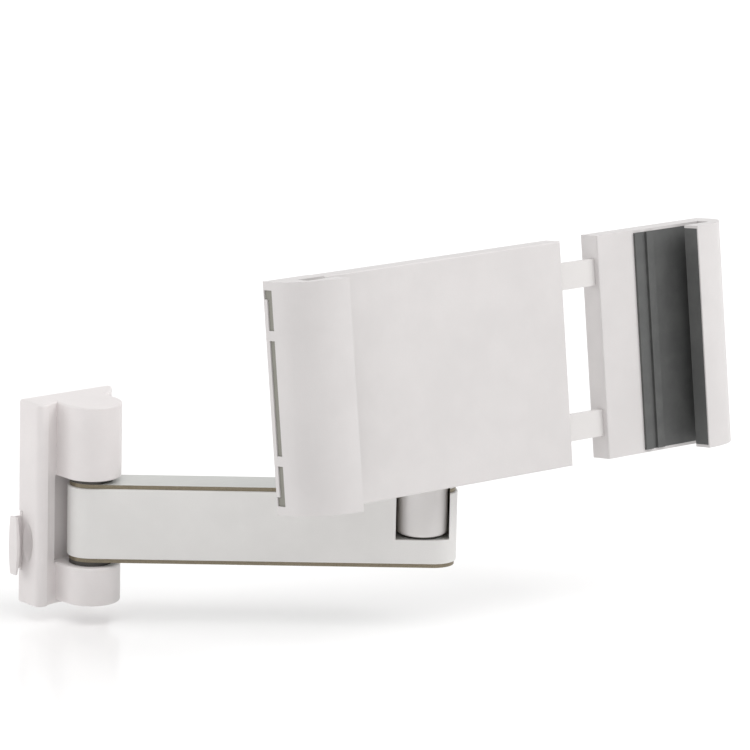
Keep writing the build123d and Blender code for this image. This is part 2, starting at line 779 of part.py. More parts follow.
# Front plate with hollow bosses for the housing screws
with BuildPart() as front_plate:
    with BuildSketch(plate_back_plane):
        span((floor_start + pad_gap, housing_right), (-half_holder, half_holder))
    extrude(amount=front_plate_thickness)
    plate_rims = front_plate.faces().sort_by(Axis(holder_plane.origin, face_normal))[-1].edges()
    fillet(plate_rims, radius=plate_edge)
    with BuildSketch(plate_back_plane):
        with Locations(*boss_points):
            Circle(boss_radius)
    extrude(amount=-(rail_depth - side_play))
    with BuildSketch(floor_plane):
        with Locations(*boss_points):
            Circle(screw_radius + screw_fit)
    extrude(amount=rail_depth, mode=Mode.SUBTRACT)
save(front_plate, "front_plate")

with BuildPart() as housing_screws:
    with Locations(back_plane):
        with Locations(*boss_points):
            add(screw_body(*head_size, holder_wall + rail_depth - side_play))
save(housing_screws, "housing_screws")


def jaw_arc(tip, side, width, rise):
    """Quarter ellipse from a jaw's tip round to its outer wall."""
    start = 0 if side > 0 else quarter_turn
    return EllipticalCenterArc((tip, -pad_floor), width, rise, start, arc_size=quarter_turn)


def jaw_section(tip, side, inner_edge):
    """A jaw's whole section, with its foot running in to inner_edge."""
    wall = tip + side * (jaw_width - inner_wall)
    outer = tip + side * jaw_width
    with BuildSketch() as section:
        with BuildLine():
            jaw_arc(tip, side, jaw_width, jaw_front + pad_floor)
            Polyline(
                (tip, jaw_front),
                (tip, tablet_slot),
                (wall, tablet_slot),
                (wall, 0),
                (inner_edge, 0),
                (inner_edge, -holder_depth),
                (outer, -holder_depth),
                (outer, -pad_floor),
            )
        make_face()
    return section.sketch


def pad_section(tip, side, floor_edge, gap):
    """A jaw pad's section: floor, inner wall, lip and the leg behind the slots."""
    wall = tip + side * (jaw_width - inner_wall)
    width = jaw_width - jaw_skin - gap
    skin = tip + side * width
    lip_front = jaw_front - jaw_tip_skin - gap
    leg_inner = tip + side * (jaw_width - jaw_skin - pad_leg + gap)
    leg_end = -holder_depth + jaw_flange_thickness + gap
    with BuildSketch() as section:
        with BuildLine():
            jaw_arc(tip, side, width, lip_front + pad_floor)
            Polyline(
                (tip, lip_front),
                (tip, tablet_slot),
                (wall, tablet_slot),
                (wall, 0),
                (floor_edge, 0),
                (floor_edge, -pad_floor),
                (leg_inner, -pad_floor),
                (leg_inner, leg_end),
                (skin, leg_end),
                (skin, -pad_floor),
            )
        make_face()
    return section.sketch


def side_slots(shrink):
    """Sketch the row of slots in a jaw's outer wall, narrowed by shrink on every side."""
    depth = -holder_depth + side_slot_back + side_slot_width / 2
    end_offset = (middle_slot + end_slot) / 2 + slot_web
    for offset, length in ((-end_offset, end_slot), (0, middle_slot), (end_offset, end_slot)):
        with Locations((offset, depth)):
            Rectangle(length - 2 * shrink, side_slot_width - 2 * shrink)


def slot_notches(shrink):
    """Sketch the wider notches at both ends of the row of slots, narrowed like the slots."""
    depth = -holder_depth + slot_notch_back + slot_notch_width / 2
    end_offset = middle_slot / 2 + slot_web + end_slot - slot_notch_length / 2
    with Locations((-end_offset, depth), (end_offset, depth)):
        Rectangle(slot_notch_length - 2 * shrink, slot_notch_width - 2 * shrink)


def outer_wall_plane(outer, side):
    """Plane on a jaw's outer wall, with x up the holder and z outwards."""
    return Plane(
        origin=holder_plane.from_local_coords((outer, 0, 0)),
        x_dir=face_up * side,
        z_dir=(side, 0, 0),
    )


# Left jaw: convex skin with end walls, side slots and a flange under the tray
with BuildPart() as left_clamp:
    with BuildSketch(section_plane):
        add(jaw_section(left_tip, -1, floor_start))
    extrude(amount=half_holder, both=True)
    with BuildSketch(section_plane):
        add(pad_section(left_tip, -1, floor_start, 0))
        span((left_outer + jaw_skin, floor_start), (-holder_depth + jaw_flange_thickness, -pad_floor))
        span((flange_right, floor_start), (-holder_depth, 0))
        span((left_wall, floor_start), (-pad_floor, 0))
    extrude(amount=half_holder - jaw_end_wall, both=True, mode=Mode.SUBTRACT)
    with BuildSketch(outer_wall_plane(left_outer, -1)):
        side_slots(0)
        slot_notches(0)
    extrude(amount=-jaw_skin, mode=Mode.SUBTRACT)
    with Locations(back_plane):
        with Locations(*jaw_screw_points):
            add(jaw_screw_seat, mode=Mode.SUBTRACT)
save(left_clamp, "left_clamp")

with BuildPart() as left_pad:
    with BuildSketch(section_plane):
        add(pad_section(left_tip, -1, floor_start - pad_gap, pad_gap))
        span((floor_start - pad_gap - pad_rib_width, floor_start - pad_gap), (0, pad_rib_height))
    extrude(amount=pad_half_height, both=True)
    with BuildSketch(outer_wall_plane(left_outer + slot_fill_sink, -1)):
        side_slots(pad_gap)
    extrude(amount=-(jaw_skin + pad_gap + pad_leg / 2 - slot_fill_sink))
    with BuildSketch(outer_wall_plane(left_outer + slot_fill_sink, -1)):
        slot_notches(pad_gap)
    extrude(amount=-(jaw_skin - pad_gap - slot_fill_sink))
save(left_pad, "left_pad")

with BuildPart() as jaw_screws:
    with Locations(back_plane):
        with Locations(*jaw_screw_points):
            add(screw_body(*head_size, jaw_screw_length))
save(jaw_screws, "jaw_screws")

# Slide bars: flat bars with a stop head inside the housing
bar_screw_places = [clamp_left + bar_screw_first, clamp_left + bar_screw_first + bar_screw_pitch]
for label, middle in (("slide_bar_upper", bar_spacing / 2), ("slide_bar_lower", -bar_spacing / 2)):
    with BuildPart() as slide_bar:
        with BuildSketch(holder_plane.offset(-bar_back)):
            span((bar_left, bar_right), (middle - bar_height / 2, middle + bar_height / 2))
            span((bar_left, bar_left + bar_head_width),
                 (middle - bar_head_height / 2, middle + bar_head_height / 2))
        extrude(amount=bar_thickness)
        with BuildSketch(holder_plane.offset(-bar_back)):
            with Locations(*[(place, middle) for place in bar_screw_places]):
                Circle(screw_radius + screw_fit)
        extrude(amount=bar_thickness, mode=Mode.SUBTRACT)
    save(slide_bar, label)

# Right clamp: hollow body with the same jaw, pockets for the bars and bosses for its cover
cavity_left = clamp_left + holder_wall
cavity_right = right_wall - pad_leg / 2
deck_edge = clamp_left + clamp_deck
cavity_half = half_holder - clamp_end_wall
clamp_inner = holder_plane.offset(-front_plate_thickness)
cover_front = holder_plane.offset(-holder_depth + back_cover_thickness)
cover_bosses = [(clamp_left + cover_boss_left, side * cover_boss_inner) for side in (-1, 1)]
cover_bosses += [(clamp_left + cover_boss_right, side * cover_boss_up) for side in (-1, 1)]
bar_screw_points = [(place, side * bar_spacing / 2) for place in bar_screw_places for side in (-1, 1)]
with BuildPart() as right_clamp:
    with BuildSketch(section_plane):
        add(jaw_section(right_tip, 1, clamp_left))
    extrude(amount=half_holder, both=True)
    body_rims = right_clamp.edges().filter_by(Axis(holder_plane.origin, face_up)).filter_by(
        lambda edge: edge.center().X < post_point.X + clamp_left + plate_edge)
    fillet(body_rims, radius=plate_edge)
    with BuildSketch(section_plane):
        add(pad_section(right_tip, 1, deck_edge, 0))
    extrude(amount=half_holder - jaw_end_wall, both=True, mode=Mode.SUBTRACT)
    with BuildSketch(section_plane):
        span((cavity_left, deck_edge - holder_wall), (-holder_depth, -front_plate_thickness))
        span((cavity_left, cavity_right), (-holder_depth, -pad_floor - holder_wall))
    extrude(amount=cavity_half, both=True, mode=Mode.SUBTRACT)
    with BuildSketch(clamp_inner):
        with Locations(*bar_screw_points):
            Circle(boss_radius)
    extrude(amount=-(bar_front - front_plate_thickness))
    with BuildSketch(cover_front):
        with Locations(*cover_bosses):
            Circle(boss_radius)
    extrude(amount=holder_depth - back_cover_thickness - pad_floor)
    for middle in (-bar_spacing / 2, bar_spacing / 2):
        with BuildSketch(holder_plane.offset(-bar_back - side_play)):
            with Locations((clamp_left + holder_wall / 2, middle)):
                Rectangle(holder_wall, bar_height + 2 * side_play)
        extrude(amount=bar_thickness + 2 * side_play, mode=Mode.SUBTRACT)
    with BuildSketch(outer_wall_plane(right_outer, 1)):
        side_slots(0)
        slot_notches(0)
    extrude(amount=-jaw_skin, mode=Mode.SUBTRACT)
    with BuildSketch(holder_plane.offset(-bar_screw_cover)):
        with Locations(*bar_screw_points):
            Circle(screw_radius + screw_fit)
    extrude(amount=-bar_front, mode=Mode.SUBTRACT)
    with BuildSketch(cover_front):
        with Locations(*cover_bosses):
            Circle(screw_radius + screw_fit)
    extrude(amount=holder_depth - back_cover_thickness - pad_floor - holder_wall, mode=Mode.SUBTRACT)
save(right_clamp, "right_clamp")

with BuildPart() as right_pad:
    with BuildSketch(section_plane):
        add(pad_section(right_tip, 1, deck_edge + pad_gap, pad_gap))
        for rib in (0, 1):
            rib_left = deck_edge + pad_gap + rib * pad_rib_pitch
            span((rib_left, rib_left + pad_rib_width), (0, pad_rib_height))
    extrude(amount=pad_half_height, both=True)
    with BuildSketch(outer_wall_plane(right_outer - slot_fill_sink, 1)):
        side_slots(pad_gap)
    extrude(amount=-(jaw_skin + pad_gap + pad_leg / 2 - slot_fill_sink))
    with BuildSketch(outer_wall_plane(right_outer - slot_fill_sink, 1)):
        slot_notches(pad_gap)
    extrude(amount=-(jaw_skin - pad_gap - slot_fill_sink))
save(right_pad, "right_pad")

# Back cover of the right clamp and its screws
with BuildPart() as clamp_back_cover:
    with BuildSketch(back_plane):
        span((cavity_left + back_cover_gap, cavity_right - back_cover_gap),
             (-cavity_half + back_cover_gap, cavity_half - back_cover_gap))
    extrude(amount=back_cover_thickness - side_play)
    with Locations(back_plane):
        with Locations(*cover_bosses):
            add(screw_body(*head_size, back_cover_thickness, gap=screw_fit), mode=Mode.SUBTRACT)
save(clamp_back_cover, "clamp_back_cover")

with BuildPart() as back_cover_screws:
    with Locations(back_plane):
        with Locations(*cover_bosses):
            add(screw_body(*head_size, holder_depth - pad_floor - holder_wall - screw_fit))
save(back_cover_screws, "back_cover_screws")

with BuildPart() as bar_screws:
    for x, y in bar_screw_points:
        with BuildSketch(holder_plane.offset(-bar_back)):
            with Locations((x, y)):
                Circle(screw_head_radius)
        extrude(amount=-screw_head_height)
        with BuildSketch(holder_plane.offset(-bar_back)):
            with Locations((x, y)):
                Circle(screw_radius)
        extrude(amount=bar_back - bar_screw_cover - screw_fit)
save(bar_screws, "bar_screws")
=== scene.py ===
"""Looks of the wall mount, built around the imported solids."""
from __future__ import annotations

import json
import logging
import math
from dataclasses import dataclass
from enum import Enum
from typing import Callable, ClassVar, Iterable, Sequence, Union

import bmesh
import bpy
from mathutils import Matrix, Vector


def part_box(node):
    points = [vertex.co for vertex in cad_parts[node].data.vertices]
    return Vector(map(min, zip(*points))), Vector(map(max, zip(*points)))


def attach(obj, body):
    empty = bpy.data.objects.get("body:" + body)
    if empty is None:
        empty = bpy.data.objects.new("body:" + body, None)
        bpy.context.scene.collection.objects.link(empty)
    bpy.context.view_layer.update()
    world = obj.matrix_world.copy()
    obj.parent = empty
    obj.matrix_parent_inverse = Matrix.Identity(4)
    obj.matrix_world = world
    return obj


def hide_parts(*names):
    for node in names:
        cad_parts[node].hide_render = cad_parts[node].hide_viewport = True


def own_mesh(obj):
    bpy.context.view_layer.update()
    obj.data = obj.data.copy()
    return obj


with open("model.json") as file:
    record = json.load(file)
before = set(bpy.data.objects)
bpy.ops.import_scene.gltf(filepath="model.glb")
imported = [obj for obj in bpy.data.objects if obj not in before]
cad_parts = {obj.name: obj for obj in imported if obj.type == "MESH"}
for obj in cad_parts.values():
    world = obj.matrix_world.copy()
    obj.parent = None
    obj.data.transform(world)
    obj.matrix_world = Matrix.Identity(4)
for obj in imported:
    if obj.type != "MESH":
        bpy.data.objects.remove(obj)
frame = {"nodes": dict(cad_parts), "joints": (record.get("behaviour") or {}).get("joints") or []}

log = logging.getLogger("wall_mount")

Rgb = tuple[float, float, float]
Span = tuple[float, float]
Source = Union["Wire", float, bool, Sequence[float], Sequence["Wire"]]

MM = 0.001
WELD = 1e-6
WHITE: Rgb = (1.0, 1.0, 1.0)


class Wire:
    """One output socket in a node tree; Python's operators add the Math nodes."""

    def __init__(self, graph: Net, socket: bpy.types.NodeSocket) -> None:
        """Keep the tree and the output socket."""
        self.graph = graph
        self.socket = socket

    def _math(self, operation: str, first: Source, second: Source) -> Wire:
        """Add one Math node and return its result."""
        values = {0: first, 1: second}
        return self.graph.node("ShaderNodeMath", {"operation": operation}, values)

    def __add__(self, other: Source) -> Wire:
        """Return self + other."""
        return self._math("ADD", self, other)

    __radd__ = __add__

    def __sub__(self, other: Source) -> Wire:
        """Return self - other."""
        return self._math("SUBTRACT", self, other)

    def __rsub__(self, other: Source) -> Wire:
        """Return other - self."""
        return self._math("SUBTRACT", other, self)

    def __mul__(self, other: Source) -> Wire:
        """Return self * other."""
        return self._math("MULTIPLY", self, other)

    __rmul__ = __mul__

    def larger(self, other: Source) -> Wire:
        """Return the larger of self and other."""
        return self._math("MAXIMUM", self, other)

    def smooth(self, low: float, high: float) -> Wire:
        """Return a soft step from 0 at low to 1 at high.

        Args:
            low: Where the step starts.
            high: Where it ends.

        Returns:
            The soft step.
        """
        return self.graph.node(
            "ShaderNodeMapRange",
            {"interpolation_type": "SMOOTHSTEP"},
            {"Value": self, "From Min": low, "From Max": high},
        )


class Net:
    """The nodes and links of one tree."""

    def __init__(self, tree: bpy.types.NodeTree) -> None:
        """Empty the tree that is to be filled."""
        self.tree = tree
        self.tree.nodes.clear()

    def node(
        self,
        kind: str,
        settings: dict[str, object] | None = None,
        inputs: dict[int | str, Source] | None = None,
        out: int | str = 0,
    ) -> Wire | None:
        """Add one node.

        Args:
            kind: The node's type.
            settings: Its properties, set before its sockets.
            inputs: Values, wires or several wires for its sockets, by name or number.
            out: The output to return.

        Returns:
            The chosen output, or nothing where the node has none.
        """
        made = self.tree.nodes.new(kind)
        for key, value in (settings or {}).items():
            setattr(made, key, value)
        for key, value in (inputs or {}).items():
            self._feed(made.inputs[key], value)
        return Wire(self, made.outputs[out]) if made.outputs else None

    def _feed(self, socket: bpy.types.NodeSocket, value: Source) -> None:
        """Link or set one input socket.

        Args:
            socket: The socket.
            value: A wire, several wires for one socket, a number or a vector.
        """
        if isinstance(value, Wire):
            self.tree.links.new(value.socket, socket)
        elif isinstance(value, (bool, int, float)):
            socket.default_value = value
        elif isinstance(value[0], Wire):
            for wire in value:
                self.tree.links.new(wire.socket, socket)
        else:
            values = tuple(value)
            socket.default_value = values + (1.0,) * (len(socket.default_value) - len(values))


@dataclass(frozen=True)
class Layer:
    """One layer of noise in a finish.

    Attributes:
        size: The size of its features, in metres.
        detail: Its octaves.
        rough: Its roughness.
        span: The noise values between which it comes into the colour.
        strength: How much of it comes into the colour.
        gloss: How far it changes the shader's roughness.
    """

    size: float
    detail: float
    rough: float
    span: Span = (0.0, 1.0)
    strength: float = 1.0
    gloss: float = 0.0

    def share(self, noise: Wire) -> Wire:
        """Return its share in the colour, from 0 to 1."""
        return noise.smooth(*self.span) * self.strength

    def swing(self, noise: Wire) -> Wire:
        """Return its change of the roughness, which is 0 on average."""
        return (noise - 0.5) * self.gloss


class Graph(Net):
    """The nodes of one material, with its surface shader and output."""

    def __init__(self, name: str) -> None:
        """Make an empty material.

        Args:
            name: The material's name.
        """
        self.material = bpy.data.materials.new(name)
        self.material.use_nodes = True
        super().__init__(self.material.node_tree)

    def place(self) -> Wire:
        """Return the object's own coordinates."""
        return self.node("ShaderNodeTexCoord", out="Object")

    def noises(self, place: Wire, *layers: Layer) -> list[Wire]:
        """Add the noise of some layers.

        Args:
            place: The coordinates it is read at.
            layers: The layers.

        Returns:
            The noise of each layer, from 0 to 1.
        """
        made = []
        for layer in layers:
            inputs = {"Scale": 1.0 / layer.size, "Detail": layer.detail, "Roughness": layer.rough}
            settings = {"noise_dimensions": "3D"}
            made.append(self.node("ShaderNodeTexNoise", settings, {"Vector": place, **inputs}))
        return made

    def blend(self, amount: Source, first: Source, second: Source) -> Wire:
        """Mix two colours, from the first at amount 0 to the second at 1."""
        colors = {0: amount, 6: first, 7: second}
        return self.node("ShaderNodeMix", {"data_type": "RGBA"}, colors, out=2)

    def surface(
        self, inputs: dict[str, Source], height: Wire | None = None, depth: float = 0.0
    ) -> bpy.types.Material:
        """Close the graph with a surface shader.

        Args:
            inputs: Values or wires for the shader's sockets.
            height: What drives its bump, if anything.
            depth: The bump's depth, in metres.

        Returns:
            The finished material.
        """
        sockets = dict(inputs)
        if height is not None:
            relief = {"Height": height, "Distance": depth, "Strength": 1.0}
            sockets["Normal"] = self.node("ShaderNodeBump", {}, relief)
        shader = self.node("ShaderNodeBsdfPrincipled", {}, sockets)
        self.node("ShaderNodeOutputMaterial", {}, {"Surface": shader})
        return self.material


def toned(color: Rgb, factor: float) -> Rgb:
    """Return a colour made darker or lighter, up to white."""
    return tuple(min(1.0, channel * factor) for channel in color)


@dataclass(frozen=True)
class Moulding:
    """Spark-grained moulded plastic: fine grain, faint mottling and a soft sheen.

    Attributes:
        color: Its colour.
        roughness: Its mean roughness.
        mottle: How far its colour drifts both ways.
        pit: The tone of the grain's low spots.
        depth: The grain's depth, in metres.
        grain: The spark grain.
        flow: The drift of colour across the moulding.
        haze: The uneven sheen.
    """

    color: Rgb
    roughness: float = 0.42
    mottle: float = 0.025
    pit: float = 0.96
    depth: float = 0.000012
    grain: Layer = Layer(0.00035, 3.0, 0.6, (0.35, 0.65), 0.35, 0.08)
    flow: Layer = Layer(0.018, 3.0, 0.55, (0.3, 0.7))
    haze: Layer = Layer(0.006, 2.0, 0.5, gloss=0.12)

    def make(self, name: str) -> bpy.types.Material:
        """Build the material.

        Args:
            name: The material's name.

        Returns:
            The material.
        """
        graph = Graph(name)
        grain, flow, haze = graph.noises(graph.place(), self.grain, self.flow, self.haze)
        shade, light = (toned(self.color, 1.0 + way * self.mottle) for way in (-1.0, 1.0))
        color = graph.blend(self.flow.share(flow), shade, light)
        color = graph.blend(self.grain.share(grain), color, toned(self.color, self.pit))
        roughness = self.roughness + self.haze.swing(haze) + self.grain.swing(grain)
        return graph.surface({"Base Color": color, "Roughness": roughness}, grain, self.depth)


@dataclass(frozen=True)
class PowderCoat:
    """Powder-coated metal: a low orange peel under a hard, even colour.

    Attributes:
        color: Its colour.
        roughness: Its mean roughness.
        thin: The tone where the coat is thin.
        fleck: The tone of its flecks.
        depth: The orange peel's depth, in metres.
        peel: The orange peel.
        speck: The flecks.
        drift: The change of thickness.
    """

    color: Rgb
    roughness: float = 0.36
    thin: float = 0.97
    fleck: float = 0.9
    depth: float = 0.00002
    peel: Layer = Layer(0.0011, 2.0, 0.45, gloss=0.16)
    speck: Layer = Layer(0.0002, 1.0, 0.5, (0.62, 0.7), 0.3)
    drift: Layer = Layer(0.02, 2.0, 0.5, (0.3, 0.7))

    def make(self, name: str) -> bpy.types.Material:
        """Build the material.

        Args:
            name: The material's name.

        Returns:
            The material.
        """
        graph = Graph(name)
        peel, speck, drift = graph.noises(graph.place(), self.peel, self.speck, self.drift)
        color = graph.blend(self.drift.share(drift), toned(self.color, self.thin), self.color)
        color = graph.blend(self.speck.share(speck), color, toned(self.color, self.fleck))
        roughness = self.roughness + self.peel.swing(peel)
        return graph.surface({"Base Color": color, "Roughness": roughness}, peel, self.depth)


@dataclass(frozen=True)
class Extrusion:
    """Satin extruded metal with fine die lines along its length. Its level faces are painted pale
    as light falling from above, and its upright faces stay darker.

    Attributes:
        color: The colour of its upright faces, which get none of the painted light from above.
        tint: The colour of the darker lines there.
        level: The pale colour painted on its level faces as light from above.
        angle: The lines' heading in the floor plan, in radians.
        roughness: Its mean roughness.
        metallic: How metallic its edges are.
        level_metal_loss: How much of that its level faces lose.
        stretch: How far the lines are drawn out, as a scale along them.
        dull: The tone of the wider bands.
        worn: The tone of the lines on the level faces.
        worn_span: The noise values between which those lines come in.
        flat_span: The squares of the normal's Z between which a face counts as level.
        depth: The lines' depth, in metres.
        line: The die lines.
        band: The wider bands.
    """

    color: Rgb
    tint: Rgb
    level: Rgb
    angle: float
    roughness: float = 0.4
    metallic: float = 0.55
    level_metal_loss: float = 0.8
    stretch: float = 0.02
    dull: float = 0.85
    worn: float = 0.94
    worn_span: Span = (0.3, 0.8)
    flat_span: Span = (0.4, 0.8)
    depth: float = 0.000008
    line: Layer = Layer(0.0003, 3.0, 0.65, (0.35, 0.7), gloss=0.25)
    band: Layer = Layer(0.0027, 2.0, 0.5, (0.4, 0.8), 0.4)

    def make(self, name: str) -> bpy.types.Material:
        """Build the material.

        Args:
            name: The material's name.

        Returns:
            The material.
        """
        graph = Graph(name)
        turn, scale = (0.0, 0.0, -self.angle), (self.stretch, 1.0, 1.0)
        along = graph.node(
            "ShaderNodeMapping",
            {"vector_type": "POINT"},
            {"Vector": graph.place(), "Rotation": turn, "Scale": scale},
        )
        lines, bands = graph.noises(along, self.line, self.band)
        edge = graph.blend(self.line.share(lines), self.color, self.tint)
        edge = graph.blend(self.band.share(bands), edge, toned(self.color, self.dull))
        # Painted light from above: level faces take the pale colour, upright faces keep the darker
        # one.
        painted_top_light = graph.blend(
            lines.smooth(*self.worn_span), self.level, toned(self.level, self.worn)
        )
        # The mask of the painted light: faces that lie level, which also lose metal so that the
        # painted light stays pale.
        normal = graph.node("ShaderNodeNewGeometry", out="Normal")
        upward = graph.node("ShaderNodeSeparateXYZ", {}, {0: normal}, out=2)
        top_light_mask = (upward * upward).smooth(*self.flat_span)
        sockets = {
            "Base Color": graph.blend(top_light_mask, edge, painted_top_light),
            "Roughness": self.roughness + self.line.swing(lines),
            "Metallic": self.metallic * (1.0 - top_light_mask * self.level_metal_loss),
        }
        return graph.surface(sockets, lines, self.depth)


@dataclass(frozen=True)
class Elastomer:
    """Matt rubber with a fine moulded grain and dusty high spots.

    Attributes:
        color: Its colour.
        bloom: The colour of its dusty bloom.
        roughness: Its mean roughness.
        depth: The grain's depth, in metres.
        grain: The moulded grain.
        cloud: The clouds of bloom.
    """

    color: Rgb
    bloom: Rgb
    roughness: float = 0.62
    depth: float = 0.00003
    grain: Layer = Layer(0.0004, 3.0, 0.6, (0.5, 0.75), 0.25, 0.1)
    cloud: Layer = Layer(0.009, 4.0, 0.6, (0.35, 0.8), 0.5, 0.14)

    def make(self, name: str) -> bpy.types.Material:
        """Build the material.

        Args:
            name: The material's name.

        Returns:
            The material.
        """
        graph = Graph(name)
        grain, cloud = graph.noises(graph.place(), self.grain, self.cloud)
        color = graph.blend(self.cloud.share(cloud), self.color, self.bloom)
        color = graph.blend(self.grain.share(grain), color, self.bloom)
        roughness = self.roughness + self.cloud.swing(cloud) + self.grain.swing(grain)
        return graph.surface({"Base Color": color, "Roughness": roughness}, grain, self.depth)


@dataclass(frozen=True)
class Plated:
    """Zinc-plated or turned steel with faint turning marks and dull patches.

    Attributes:
        color: Its colour.
        dull: The colour of its dull patches.
        roughness: Its mean roughness.
        depth: The marks' depth, in metres.
        patch: The dull patches.
        mark: The turning marks.
    """

    color: Rgb
    dull: Rgb
    roughness: float = 0.3
    depth: float = 0.000006
    patch: Layer = Layer(0.006, 3.0, 0.55, (0.4, 0.75), gloss=0.25)
    mark: Layer = Layer(0.00025, 2.0, 0.6, gloss=0.12)

    def make(self, name: str) -> bpy.types.Material:
        """Build the material.

        Args:
            name: The material's name.

        Returns:
            The material.
        """
        graph = Graph(name)
        patches, marks = graph.noises(graph.place(), self.patch, self.mark)
        sockets = {
            "Base Color": graph.blend(self.patch.share(patches), self.color, self.dull),
            "Roughness": self.roughness + self.patch.swing(patches) + self.mark.swing(marks),
            "Metallic": 1.0,
        }
        return graph.surface(sockets, marks, self.depth)


class Finish(Enum):
    """The mount's finishes by where they are used."""

    SHELL = "shell_plastic"
    HOLDER = "holder_plastic"
    COVER = "cover_plastic"
    COAT = "white_coat"
    ARM = "arm_metal"
    GRIP = "grip_rubber"
    LIT_GRIP = "lit_grip_rubber"
    BUSH = "bush_plastic"
    ZINC = "zinc_steel"


ARM_HEADING = math.radians(-38.2)

FINISHES = {
    Finish.SHELL: Moulding((0.78, 0.745, 0.74)),
    Finish.HOLDER: Moulding((0.655, 0.632, 0.627)),
    Finish.COVER: Moulding((0.76, 0.75, 0.735), roughness=0.38),
    Finish.COAT: PowderCoat((0.70, 0.68, 0.67)),
    Finish.ARM: Extrusion(
        (0.235, 0.20, 0.14), (0.165, 0.14, 0.095), (0.64, 0.65, 0.63), ARM_HEADING
    ),
    Finish.GRIP: Elastomer((0.09, 0.092, 0.091), (0.14, 0.142, 0.138)),
    # A lighter copy of the grip rubber: painted light on the left pad, which is the same rubber as
    # the right pad.
    Finish.LIT_GRIP: Elastomer((0.24, 0.235, 0.205), (0.30, 0.295, 0.26)),
    Finish.BUSH: Moulding((0.05, 0.045, 0.04), roughness=0.5),
    Finish.ZINC: Plated((0.58, 0.58, 0.59), (0.52, 0.52, 0.53)),
}


class Paintbox:
    """Makes each finish once and paints nodes and pieces with it."""

    def __init__(self) -> None:
        """Build every finish."""
        self.made = {kind: look.make(kind.value) for kind, look in FINISHES.items()}

    def paint(self, finish: Finish, names: Iterable[str]) -> None:
        """Give CAD nodes a finish.

        Args:
            finish: The finish.
            names: The nodes' names.
        """
        for name in names:
            coat(frame["nodes"][name], self.made[finish])
            log.info("%s: %s", name, finish.value)


def coat(thing: bpy.types.Object, finish: bpy.types.Material) -> None:
    """Make a material the only one of an object."""
    thing.data.materials.clear()
    thing.data.materials.append(finish)


def joint(name: str) -> dict[str, object]:
    """Return one joint of the frame by its name."""
    return next(found for found in frame["joints"] if found["name"] == name)


def linked(name: str, mesh: bpy.types.Mesh) -> bpy.types.Object:
    """Make an object of a mesh, at the origin, and put it in the scene.

    Args:
        name: The object's name.
        mesh: Its mesh.

    Returns:
        The object.
    """
    thing = bpy.data.objects.new(name, mesh)
    bpy.context.scene.collection.objects.link(thing)
    return thing


def settled(thing: bpy.types.Object) -> bpy.types.Mesh:
    """Return an object's mesh with its modifiers applied, and take them off.

    Args:
        thing: The object.

    Returns:
        The plain mesh.
    """
    ready = thing.evaluated_get(bpy.context.evaluated_depsgraph_get())
    mesh = bpy.data.meshes.new_from_object(ready)
    thing.modifiers.clear()
    return mesh


def welded(node: str) -> bmesh.types.BMesh:
    """Copy a CAD node's mesh, with its loose triangles joined.

    Args:
        node: The node's name.

    Returns:
        The copy, to be freed by the caller.
    """
    solid = bmesh.new()
    solid.from_mesh(frame["nodes"][node].data)
    bmesh.ops.remove_doubles(solid, verts=solid.verts, dist=WELD)
    return solid


def closed_object(name: str, made: bmesh.types.BMesh) -> bpy.types.Object:
    """Turn a closed bmesh into an object with its faces outwards, and free it.

    Args:
        name: The object's name.
        made: Its mesh.

    Returns:
        The linked object.
    """
    bmesh.ops.recalc_face_normals(made, faces=made.faces)
    mesh = bpy.data.meshes.new(name)
    made.to_mesh(mesh)
    made.free()
    return linked(name, mesh)


def rectangle(left: float, right: float, front: float, back: float) -> list[Span]:
    """Return the corners of a rectangle in the floor plan."""
    return [(left, back), (left, front), (right, front), (right, back)]


def lofted(
    name: str,
    ring: Callable[[float], list[Span]],
    bottom: float,
    top: float,
    steps: int,
) -> bpy.types.Object:
    """Loft a closed shell upwards through level rings.

    Args:
        name: The object's name.
        ring: Gives the X and Y of a ring's corners at a height from -1 to 1.
        bottom: The height of the lowest ring.
        top: The height of the highest ring.
        steps: The number of steps between them.

    Returns:
        The linked object.
    """
    made = bmesh.new()
    rings = []
    for step in range(steps + 1):
        share = step / steps
        height = bottom + (top - bottom) * share
        rings.append([made.verts.new((x, y, height)) for x, y in ring(2.0 * share - 1.0)])
    for lower, upper in zip(rings, rings[1:]):
        for corner in range(len(lower)):
            after = (corner + 1) % len(lower)
            made.faces.new((lower[corner], lower[after], upper[after], upper[corner]))
    made.faces.new(rings[0])
    made.faces.new(rings[-1])
    return closed_object(name, made)


def bevel(thing: bpy.types.Object, width: float, segments: int = 3, angle: float = 40.0) -> None:
    """Round an object's sharp edges.

    Args:
        thing: The object.
        width: The rounding's width, in metres.
        segments: The number of faces across it.
        angle: The least angle of a sharp edge, in degrees.
    """
    modifier = thing.modifiers.new("rounding", "BEVEL")
    modifier.width = width
    modifier.segments = segments
    modifier.limit_method = "ANGLE"
    modifier.angle_limit = math.radians(angle)
    thing.data = settled(thing)


def unite(thing: bpy.types.Object, part: bpy.types.Object) -> None:
    """Join a part to an object as one closed shell, and remove the part.

    Args:
        thing: The object that grows.
        part: What is joined to it.
    """
    modifier = thing.modifiers.new("union", "BOOLEAN")
    modifier.operation = "UNION"
    modifier.solver = "EXACT"
    modifier.object = part
    thing.data = settled(thing)
    bpy.data.objects.remove(part)


def claim(piece: bpy.types.Object, body: str, nodes: Sequence[str]) -> None:
    """Put a piece on its body, in the place of CAD nodes.

    Args:
        piece: The piece.
        body: The CAD body that it rides on.
        nodes: The CAD nodes that it stands for.
    """
    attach(piece, body)
    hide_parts(*nodes)
    log.info("%s: %d faces", piece.name, len(piece.data.polygons))


